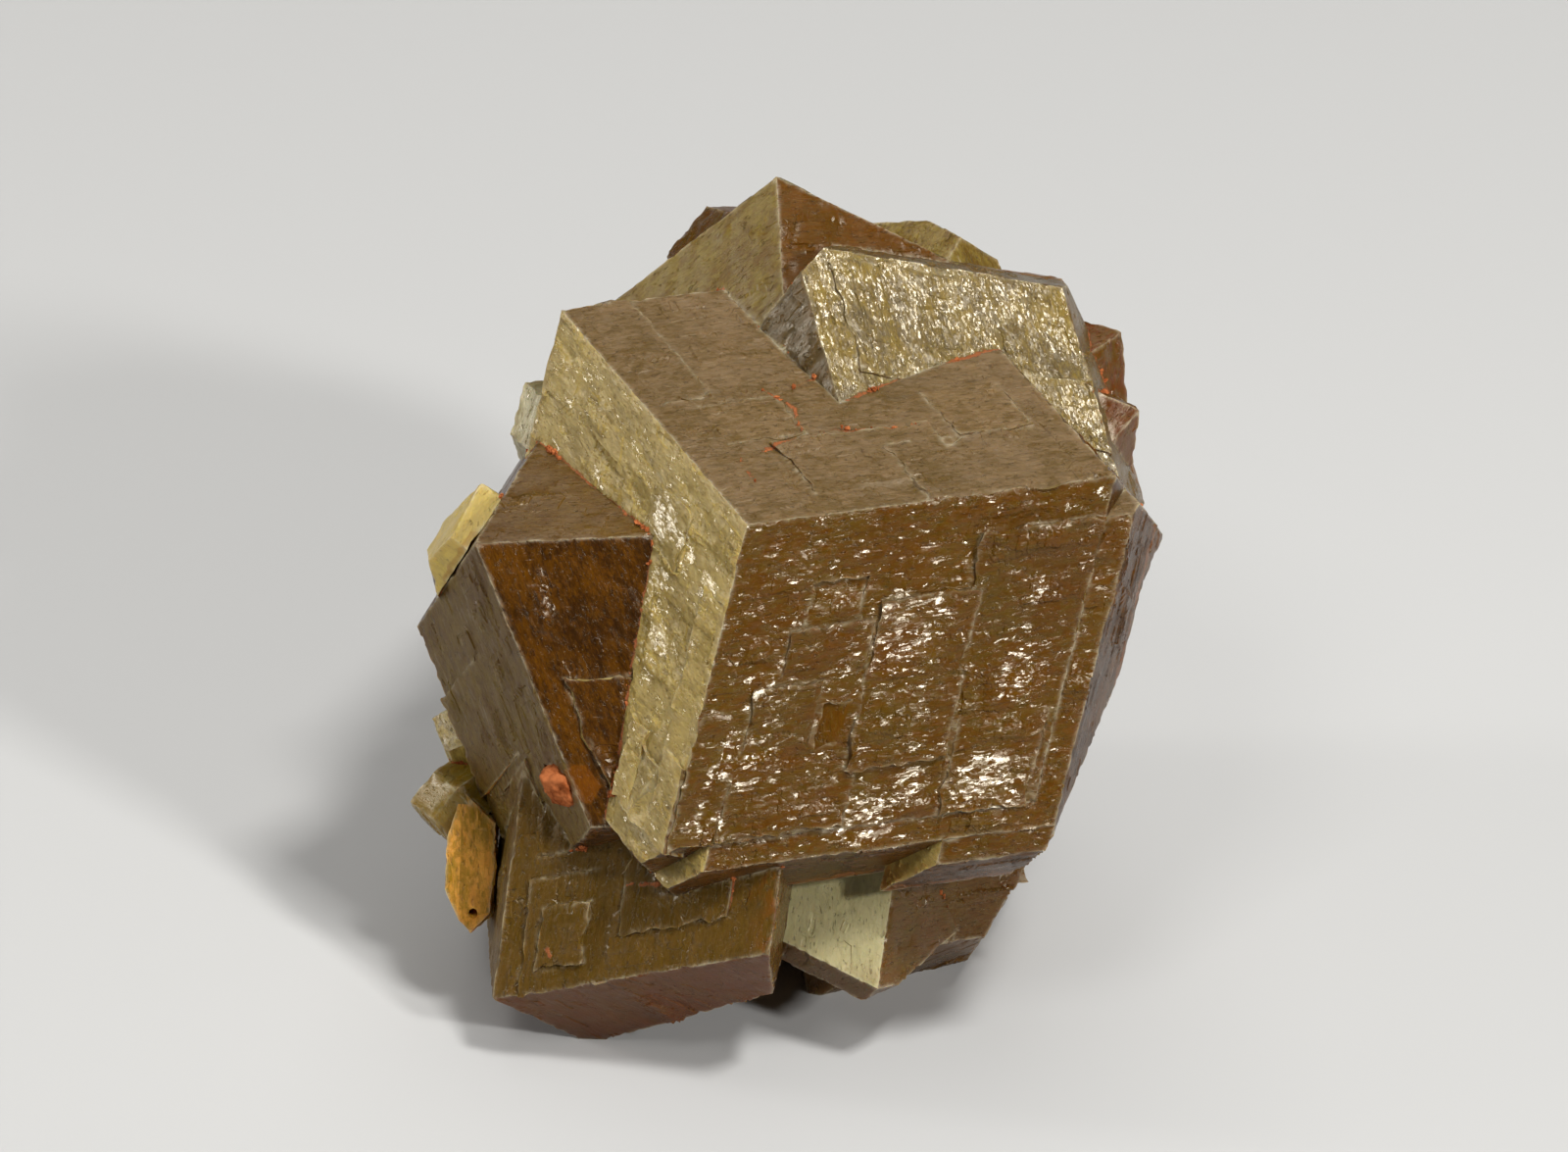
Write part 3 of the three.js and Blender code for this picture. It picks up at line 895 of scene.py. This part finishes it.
class Finish:
    """A material with one Principled shader and the nodes that feed it."""

    def __init__(self, name, **constants):
        self.material = bpy.data.materials.new(name)
        self.material.use_nodes = True
        self.nodes, self.links = self.material.node_tree.nodes, self.material.node_tree.links
        self.shader = self.nodes["Principled BSDF"]
        self.drive(**constants)

    def node(self, kind, inputs=None, output=0, **settings):
        made = self.nodes.new(f"ShaderNode{kind}")
        for key, value in settings.items():
            setattr(made, key, value)
        for key, value in (inputs or {}).items():
            self.feed(made.inputs[key], value)
        return Value(self, made.outputs[output])

    def feed(self, socket, value):
        if isinstance(value, Value):
            self.links.new(value.socket, socket)
        elif socket.type == "RGBA":
            socket.default_value = (*value, 1)
        elif socket.type == "VECTOR" and not isinstance(value, tuple):
            socket.default_value = (value,) * 3
        else:
            socket.default_value = value

    def drive(self, **inputs):
        for key, value in inputs.items():
            self.feed(self.shader.inputs[key.replace("_", " ")], value)

    def math(self, operation, *values):
        """Arithmetic on numbers, or on vectors and colours part by part."""
        wide = any(getattr(value, "wide", isinstance(value, tuple)) for value in values)
        kind = "VectorMath" if wide else "Math"
        return self.node(kind, dict(enumerate(values)), operation=operation)

    def attribute(self, name, output):
        return self.node("Attribute", output=output, attribute_name=name)

    def mix(self, factor, first, second):
        colours = {0: factor, 6: first, 7: second}
        return self.node("Mix", colours, 2, data_type="RGBA", clamp_factor=True)

    def split(self, vector):
        """The three numbers of a vector or colour."""
        outputs = self.node("SeparateXYZ", {0: vector}).socket.node.outputs
        return [Value(self, socket) for socket in outputs]

    def noise(self, vector, scale, detail, roughness=0.6, output="Fac"):
        inputs = {"Vector": vector, "Scale": scale, "Detail": detail, "Roughness": roughness}
        return self.node("TexNoise", inputs, output)

    def cells(self, vector, scale):
        """A colour for each of the square cells of a pattern."""
        inputs = {"Vector": vector, "Scale": scale}
        return self.node("TexVoronoi", inputs, "Color", distance="CHEBYCHEV")

    def between(self, value, low, high):
        """0 below low, 1 above high, smooth between them."""
        inputs = {"Value": value, "From Min": low, "From Max": high}
        return self.node("MapRange", inputs, interpolation_type="SMOOTHSTEP")


# How much the marks on a face are squeezed along its two edge directions
FLAKES, THREADS, BARS = (1.0, 2.2, 1.0), (0.45, 8.0, 1.0), (1.0, 4.6, 1.0)


def garnet_finish(colours):
    finish = Finish(
        "garnet",
        IOR=1.7,
        Specular_IOR_Level=0.24,
        Specular_Tint=(1.0, 0.91, 0.74),
        Subsurface_Weight=0.25,
        Subsurface_Radius=(1.0, 0.45, 0.1),
        Subsurface_Scale=0.0014,
    )
    noise_on, between, mix = finish.noise, finish.between, finish.mix
    growth = finish.attribute("growth", "Vector")
    tint, patch = finish.attribute("tint", "Color"), finish.attribute("patch", "Color")
    rough, sparkle, striae = finish.split(finish.attribute("look", "Vector"))
    seam, crest, thin = finish.split(finish.attribute("marks", "Vector"))
    glitter, slope = finish.attribute("glitter", "Fac"), finish.attribute("lean", "Vector")

    # Growth coordinates, bent a little so that no line is ruler-straight
    bent = growth + 0.3 * (noise_on(growth, 0.9, 2, 0.55, "Color") - 0.5)
    flakes, threads, bars = bent * FLAKES, bent * THREADS, bent * BARS

    block_shade, block_kind, _ = finish.split(finish.cells(flakes, 1.1))
    chip_shade, chip_kind, _ = finish.split(finish.cells(flakes, 2.6))
    bar_shade, bar_kind, _ = finish.split(finish.cells(bars, 1.3))
    lines = noise_on(threads, 1.0, 4)
    grit = noise_on(growth, 9.0, 4)
    cloud = noise_on(growth, 0.28, 5)
    mottle = noise_on(flakes, 1.7, 5, 0.7)
    fleck = noise_on(flakes, 4.5, 4, 0.7)
    pit = between(noise_on(flakes, 2.4, 3), 0.40, 0.30)

    # Colour: two tints that fade into each other, then pits, growth lines, dust, painted glow at thin
    # rims and worn rims with a painted highlight
    flaky = 0.16 * block_kind + 0.18 * chip_kind + 0.7 * mottle + 0.5 * fleck + 0.8 * cloud
    shade = 0.48 + 0.5 * mottle + 0.10 * block_shade + 0.10 * chip_shade + 0.3 * cloud + 0.34 * fleck
    body = mix(between(flaky, 0.90, 1.45), tint, patch) * shade
    body = mix(0.6 * pit, body, 0.4 * body)
    body = mix(0.5 * (between(lines, 0.47, 0.34) * striae), body, 0.35 * body)
    body = mix(0.12 * between(noise_on(growth, 5.5, 5, 0.7), 0.60, 0.70), body, colours.dust)
    # Painted glow: thin rims take a lighter amber that stands in for light shining through them
    body = mix(0.45 * between(thin, 0.5, 1.0), body, colours.glow)
    # Worn rims: pale lines along crests and ledges, partly real wear and partly a painted highlight
    # where edges catch the light
    worn = crest * crest * crest * between(mottle, 0.36, 0.52)
    body = mix(0.52 * worn, body, colours.dust)

    # Iron stain, which creeps out of the seams in patches
    stain = between(seam + 2.2 * noise_on(growth, 0.7, 6, 0.75), 1.80, 1.98)
    body = mix(0.85 * stain, body, mix(mottle, colours.rust_dark, colours.rust))

    # Small facets lean each its own way, so that they flash one by one
    torn = noise_on(flakes, 0.9, 5, 0.75)
    zone = between(0.75 * glitter + 4.0 * torn + 0.4 * sparkle, 2.50, 2.70)
    glint = zone * between(block_kind + 0.5 * chip_kind, 0.40, 0.44)
    dash = between(bar_kind + 0.1 * sparkle, 0.94, 0.96) * striae
    glint = glint + dash * (1 - glint)
    scatter = (finish.cells(flakes, 3.4) - 0.5) * (sparkle * (0.10 + 0.08 * glint))
    normal = finish.node("NewGeometry", output="Normal") + (slope * glint + scatter)
    normal = finish.math("NORMALIZE", normal)

    # Heights in millimetres
    height = 0.022 * block_shade + 0.014 * chip_shade + 0.018 * lines * striae + 0.008 * grit
    height = height - 0.03 * pit + 0.034 * bar_shade * striae * between(bar_kind, 0.4, 0.45)
    height = height * (1 - 0.6 * glint) + 0.08 * stain * grit
    bump = {"Strength": 1.0, "Distance": MM, "Height": height, "Normal": normal}
    matt = rough + 0.16 * (mottle - 0.5)
    glossy = matt + glint * (0.18 - matt)
    roughness = glossy + stain * (0.9 - glossy)
    finish.drive(Base_Color=body, Roughness=roughness, Normal=finish.node("Bump", bump))
    return finish.material


def iron_finish(colours):
    finish = Finish("rusty_crumbs", IOR=1.5, Specular_IOR_Level=0.06)
    clumps = finish.noise(finish.node("TexCoord", output="Object"), 1400, 5, 0.65)
    body = finish.mix(finish.between(clumps, 0.32, 0.62), colours.rust_dark, colours.rust)
    bump = finish.node("Bump", {"Strength": 0.9, "Distance": 0.12 * MM, "Height": clumps})
    finish.drive(Base_Color=body, Roughness=0.78 + 0.2 * clumps, Normal=bump)
    return finish.material


# Operators


class GARNET_OT_cluster(bpy.types.Operator):
    """Lays growth steps, worn edges and the garnet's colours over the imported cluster"""

    bl_idname = "garnet.cluster"
    bl_label = "Garnet Cluster"

    def execute(self, context):
        colours, sizes = context.scene.garnet_colours, context.scene.garnet_sizes
        surface = cluster_surface()
        heights = (sizes.block_height, sizes.chip_depth, sizes.ledge_wander)
        offsets = relief_offsets(surface, *(value / MM for value in heights))
        points, triangles = surface.points + offsets, surface.triangles
        points[:, 2] = np.maximum(points[:, 2], 0)
        piece = mesh_object("garnet_crystals", points * MM, triangles, garnet_finish(colours))
        mesh = piece.data
        mesh.shade_smooth()
        self.sharpen(mesh, surface, points)
        self.paint(mesh, surface, points, colours)
        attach(piece, "root")
        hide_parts(CLUSTER)
        return {"FINISHED"}

    def sharpen(self, mesh, surface, points):
        """Keeps the crystal edges and the sides of growth steps crisp."""
        normals = unit(crosses(points, surface.triangles))
        sides = edges_of(surface.triangles)
        flat = np.array([part.normal for part in surface.parts])[surface.belongs]
        sharp = np.zeros(len(mesh.edges), bool)
        for index, (i, j) in enumerate(stored(mesh.edges, "vertices", 2, np.int32).tolist()):
            one, other = sides[min(i, j), max(i, j)]
            crest = flat[one] @ flat[other] < NO_CREST
            sharp[index] = crest or normals[one] @ normals[other] < CRISP
        layer = mesh.attributes.new("sharp_edge", "BOOLEAN", "EDGE")
        layer.data.foreach_set("value", sharp)

    def paint(self, mesh, surface, points, colours):
        """Stores what the material reads: growth coordinates, tints, looks and marks."""
        corners = surface.triangles.reshape(-1)
        of_corner = np.repeat(surface.belongs, 3)
        widths = {"growth": 3, "tint": 4, "patch": 4, "look": 3, "lean": 3}
        layers = {name: np.ones((len(corners), width)) for name, width in widths.items()}
        glitter, cracks = np.zeros(len(points)), np.zeros(len(points))
        rng = draws("tints")
        for part in surface.parts:
            own = of_corner == part.number
            look = part.look
            place = part.growth(surface.points[corners[own]])
            layers["growth"][own, :2] = look.fine * (place if look.run == "along" else place[:, ::-1])
            layers["growth"][own, 2] = part.number * PATTERN_SHIFT
            lightness = rng.uniform(0.92, 1.08)
            for name in ("tint", "patch"):
                layers[name][own, :3] = np.array(getattr(colours, getattr(look, name))) * lightness
            layers["look"][own] = look.roughness, look.sparkle, look.striae
            layers["lean"][own] = part.along * look.lean[0] + part.across * look.lean[1]
            for along, across, reach in part.of_face(GLITTER):
                apart = np.linalg.norm(place - (along, across), axis=1)
                np.maximum.at(glitter, corners[own], np.clip(1.5 - 1.5 * apart / reach, 0, 1))
            for line in part.of_face(CRACKS):
                np.maximum.at(cracks, corners[own], 1 - distance_to_line(place, line) / CRACK_WIDTH)
        for name, values in layers.items():
            attribute(mesh, name, "CORNER", values)
        normals = np.array([vertex.normal for vertex in mesh.vertices])
        width = bpy.context.scene.garnet_sizes.stain_width / MM
        seams, rust = list(surface.seams), list(surface.seams.values())
        stain = nearness(points, surface.points[seams], width, rust)
        # Crests and ledges carry the pale worn rim, which is also a painted highlight
        worn = np.unique(surface.crests + list(surface.ledges))
        crest = nearness(points, surface.points[worn], CREST_WIDTH)
        thin = thinness(points, normals, surface.triangles)
        marks = np.column_stack((np.maximum(stain, cracks), crest, thin))
        attribute(mesh, "marks", "POINT", marks)
        attribute(mesh, "glitter", "POINT", glitter)


def ball(detail, reach):
    """A ball's points, each as far out as reach gives for its direction, and its triangles."""
    form = bmesh.new()
    bmesh.ops.create_icosphere(form, subdivisions=detail, radius=1)
    form.verts.index_update()
    places = [vertex.co * reach(vertex.co) for vertex in form.verts]
    triangles = np.array([[vertex.index for vertex in face.verts] for face in form.faces])
    form.free()
    return places, triangles


def lump(centre, size, rng, detail, rough):
    """A crumbly lump as points and triangles in millimetres."""
    shift = Vector(rng.uniform(-50, 50, 3))

    def reach(place):
        swell = 1 + rough * noise.fractal(place * 1.3 + shift, 1.0, 2.0, 4)
        return swell + 0.5 * rough * (noise.cell(place * 2.6 + shift) - 0.5)

    places, triangles = ball(detail, reach)
    turn = Matrix.Rotation(rng.uniform(0, 2 * math.pi), 3, Vector(rng.normal(size=3)).normalized())
    return np.array([turn @ place for place in places]) * size + centre, triangles


class GARNET_OT_crumb(bpy.types.Operator):
    """Makes the largest crumb of iron oxide, in its pocket between two crystals"""

    bl_idname = "garnet.iron_oxide_crumb"
    bl_label = "Iron Oxide Crumb"

    POCKET_GAP = 0.3  # millimetres between the solid crumb and its pocket, which the real one fills
    FACETS = 14

    def execute(self, context):
        low, high = (np.array(corner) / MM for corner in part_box(CRUMB))
        rng = draws("crumb")
        facets = [Vector(rng.normal(size=3)).normalized() for _ in range(self.FACETS)]

        def reach(place):
            """Flat facets, made rough, with one crack."""
            cut = min(0.86 / max(place.dot(facet), 0.3) for facet in facets)
            swell = min(cut, 1.02) + 0.10 * noise.fractal(place * 2.4 + Vector((3, 9, 4)), 1.0, 2.0, 5)
            crack = abs(place.x * 0.8 + place.z * 0.35 + 0.16 * noise.noise(place * 3) - 0.15)
            return swell - 0.30 * max(0.0, 1 - crack / 0.09)

        places, triangles = ball(5, reach)
        points = np.array(places) * ((high - low) / 2 + self.POCKET_GAP) + (low + high) / 2
        piece = mesh_object("iron_oxide_lump", points * MM, triangles, iron_material(context))
        piece.data.shade_smooth()
        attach(piece, "root")
        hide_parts(CRUMB)
        return {"FINISHED"}


def iron_material(context):
    return bpy.data.materials.get("rusty_crumbs") or iron_finish(context.scene.garnet_colours)


class GARNET_OT_grains(bpy.types.Operator):
    """Scatters small grains of iron oxide along the seams between the crystals"""

    bl_idname = "garnet.seam_grains"
    bl_label = "Seam Grains"

    CRACK_GRAINS = 1.2  # per millimetre of a crack
    STRAY = 0.05  # millimetres off the seam

    def execute(self, context):
        sizes = context.scene.garnet_sizes
        surface = cluster_surface()
        rng = draws("grains")
        seam = surface.points[list(surface.seams)]
        weight = np.array(list(surface.seams.values()))
        # Grains crowd in places, with bare stretches of seam between them
        crowd = np.clip(wander(seam, 2.2, rng) + 0.7 * wander(seam, 0.7, rng) - 0.3, 0, 2)
        chance = weight**2 * crowd**2 * (seam[:, 2] > 1)
        spots = list(seam[rng.choice(len(seam), size=sizes.grain_count, p=chance / chance.sum())])
        for part in surface.parts:
            for line in part.of_face(CRACKS):
                for start, end in zip(line, line[1:]):
                    if part.width > LEDGE_RISE * 4:
                        spots += self.along_crack(part, np.array(start), np.array(end), rng)
        points, triangles, used = [], [], 0
        for spot in spots:
            size = sizes.grain / MM * rng.uniform(0.2, 1.0) ** 2
            centre = spot + rng.normal(size=3) * self.STRAY
            places, faces = lump(centre, size * rng.uniform(0.35, 1.1, 3), rng, 2, 0.55)
            points.append(places)
            triangles.append(faces + used)
            used += len(places)
        piece = mesh_object(
            "seam_grains", np.vstack(points) * MM, np.vstack(triangles), iron_material(context)
        )
        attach(piece, "root")
        return {"FINISHED"}

    def along_crack(self, part, start, end, rng):
        """Places for grains along a crack that is given in a face's growth coordinates."""
        places = []
        for share in rng.uniform(0, 1, int(np.linalg.norm(end - start) * self.CRACK_GRAINS)):
            along, across = start + (end - start) * share
            place = part.start + part.along * along + part.across * across
            places.append(place + part.normal * (part.level - place @ part.normal))
        return places


def bearing(azimuth, elevation):
    """Direction from the object: azimuth 0 is towards the camera's side, 90 to the right."""
    a, e = math.radians(azimuth), math.radians(elevation)
    return Vector((math.sin(a) * math.cos(e), -math.cos(a) * math.cos(e), math.sin(e)))


class GARNET_OT_stage(bpy.types.Operator):
    """Makes the pale floor, the soft lights and the camera"""

    bl_idname = "garnet.stage"
    bl_label = "Stage"

    LIGHTS = (
        # Name, azimuth, elevation, distance and width in metres, which power and how much of it
        ("key", 42, 62, 0.5, 0.08, "key", 1.05),
        ("front_right", 42, 30, 0.6, 0.06, "key", 1.25),
        ("top_back", 180, 58, 0.5, 0.30, "fill", 0.9),
        ("left", -98, 16, 0.5, 0.22, "fill", 0.6),
        ("left_low", -98, 16, 0.45, 0.06, "key", 0.26),
        ("left_front", -25, 52, 0.55, 0.14, "fill", 0.9),
        ("overhead", 0, 88, 0.8, 0.5, "fill", 1.2),
    )

    def execute(self, context):
        stage = context.scene.garnet_stage
        self.make_floor(stage)
        middle = (CAD_BOX[0] + CAD_BOX[1]) / 2
        for name, azimuth, elevation, distance, width, level, portion in self.LIGHTS:
            lamp = bpy.data.lights.new(name, "AREA")
            lamp.size = width
            lamp.energy = getattr(stage, level) * portion
            away = bearing(azimuth, elevation)
            placed(name, lamp, middle + away * distance, away.to_track_quat("Z", "Y").to_euler())
        world = bpy.data.worlds.new("studio")
        world.use_nodes = True
        background = world.node_tree.nodes["Background"]
        background.inputs["Color"].default_value = (1, 0.985, 0.96, 1)
        background.inputs["Strength"].default_value = stage.ambient
        context.scene.world = world
        context.scene.view_settings.view_transform = "Standard"
        self.make_camera(context)
        return {"FINISHED"}

    def make_floor(self, stage):
        form = bmesh.new()
        bmesh.ops.create_grid(form, x_segments=24, y_segments=24, size=1.5)
        mesh = bpy.data.meshes.new("floor")
        form.to_mesh(mesh)
        form.free()
        finish = Finish("floor", Base_Color=stage.floor, Roughness=0.9, Specular_IOR_Level=0.1)
        mesh.materials.append(finish.material)
        floor = placed("floor", mesh)

    def make_camera(self, context):
        camera = bpy.data.cameras.new("camera")
        camera.sensor_width, camera.lens = 36, 225  # millimetres
        tilt = math.radians(60)  # it looks 30 degrees down, as in the photo
        place = Vector((-0.07, -436.38, 270.6)) * MM
        context.scene.camera = placed("camera", camera, place, (tilt, 0, 0))


class GARNET_PT_panel(bpy.types.Panel):
    """Sizes, colours and pieces of the specimen"""

    bl_idname = "GARNET_PT_panel"
    bl_label = "Garnet Specimen"
    bl_space_type = "VIEW_3D"
    bl_region_type = "UI"
    bl_category = "Garnet"

    def draw(self, context):
        for group in PROPERTY_GROUPS:
            settings = getattr(context.scene, group)
            for name in settings.bl_rna.properties.keys():
                if name not in ("name", "rna_type"):
                    self.layout.prop(settings, name)
        for operator in OPERATORS:
            self.layout.operator(operator.bl_idname)


PROPERTY_GROUPS = {
    "garnet_colours": GarnetColours,
    "garnet_sizes": GarnetSizes,
    "garnet_stage": GarnetStage,
}
OPERATORS = (GARNET_OT_cluster, GARNET_OT_crumb, GARNET_OT_grains, GARNET_OT_stage)


def register():
    for group in PROPERTY_GROUPS.values():
        bpy.utils.register_class(group)
    for name, group in PROPERTY_GROUPS.items():
        setattr(bpy.types.Scene, name, bpy.props.PointerProperty(type=group))
    for operator in OPERATORS:
        bpy.utils.register_class(operator)
    bpy.utils.register_class(GARNET_PT_panel)


def unregister():
    bpy.utils.unregister_class(GARNET_PT_panel)
    for operator in reversed(OPERATORS):
        bpy.utils.unregister_class(operator)
    for name in PROPERTY_GROUPS:
        delattr(bpy.types.Scene, name)
    for group in reversed(PROPERTY_GROUPS.values()):
        bpy.utils.unregister_class(group)


def main():
    register()
    bpy.ops.garnet.cluster()
    bpy.ops.garnet.iron_oxide_crumb()
    bpy.ops.garnet.seam_grains()
    bpy.ops.garnet.stage()


if __name__ == "__main__":
    main()
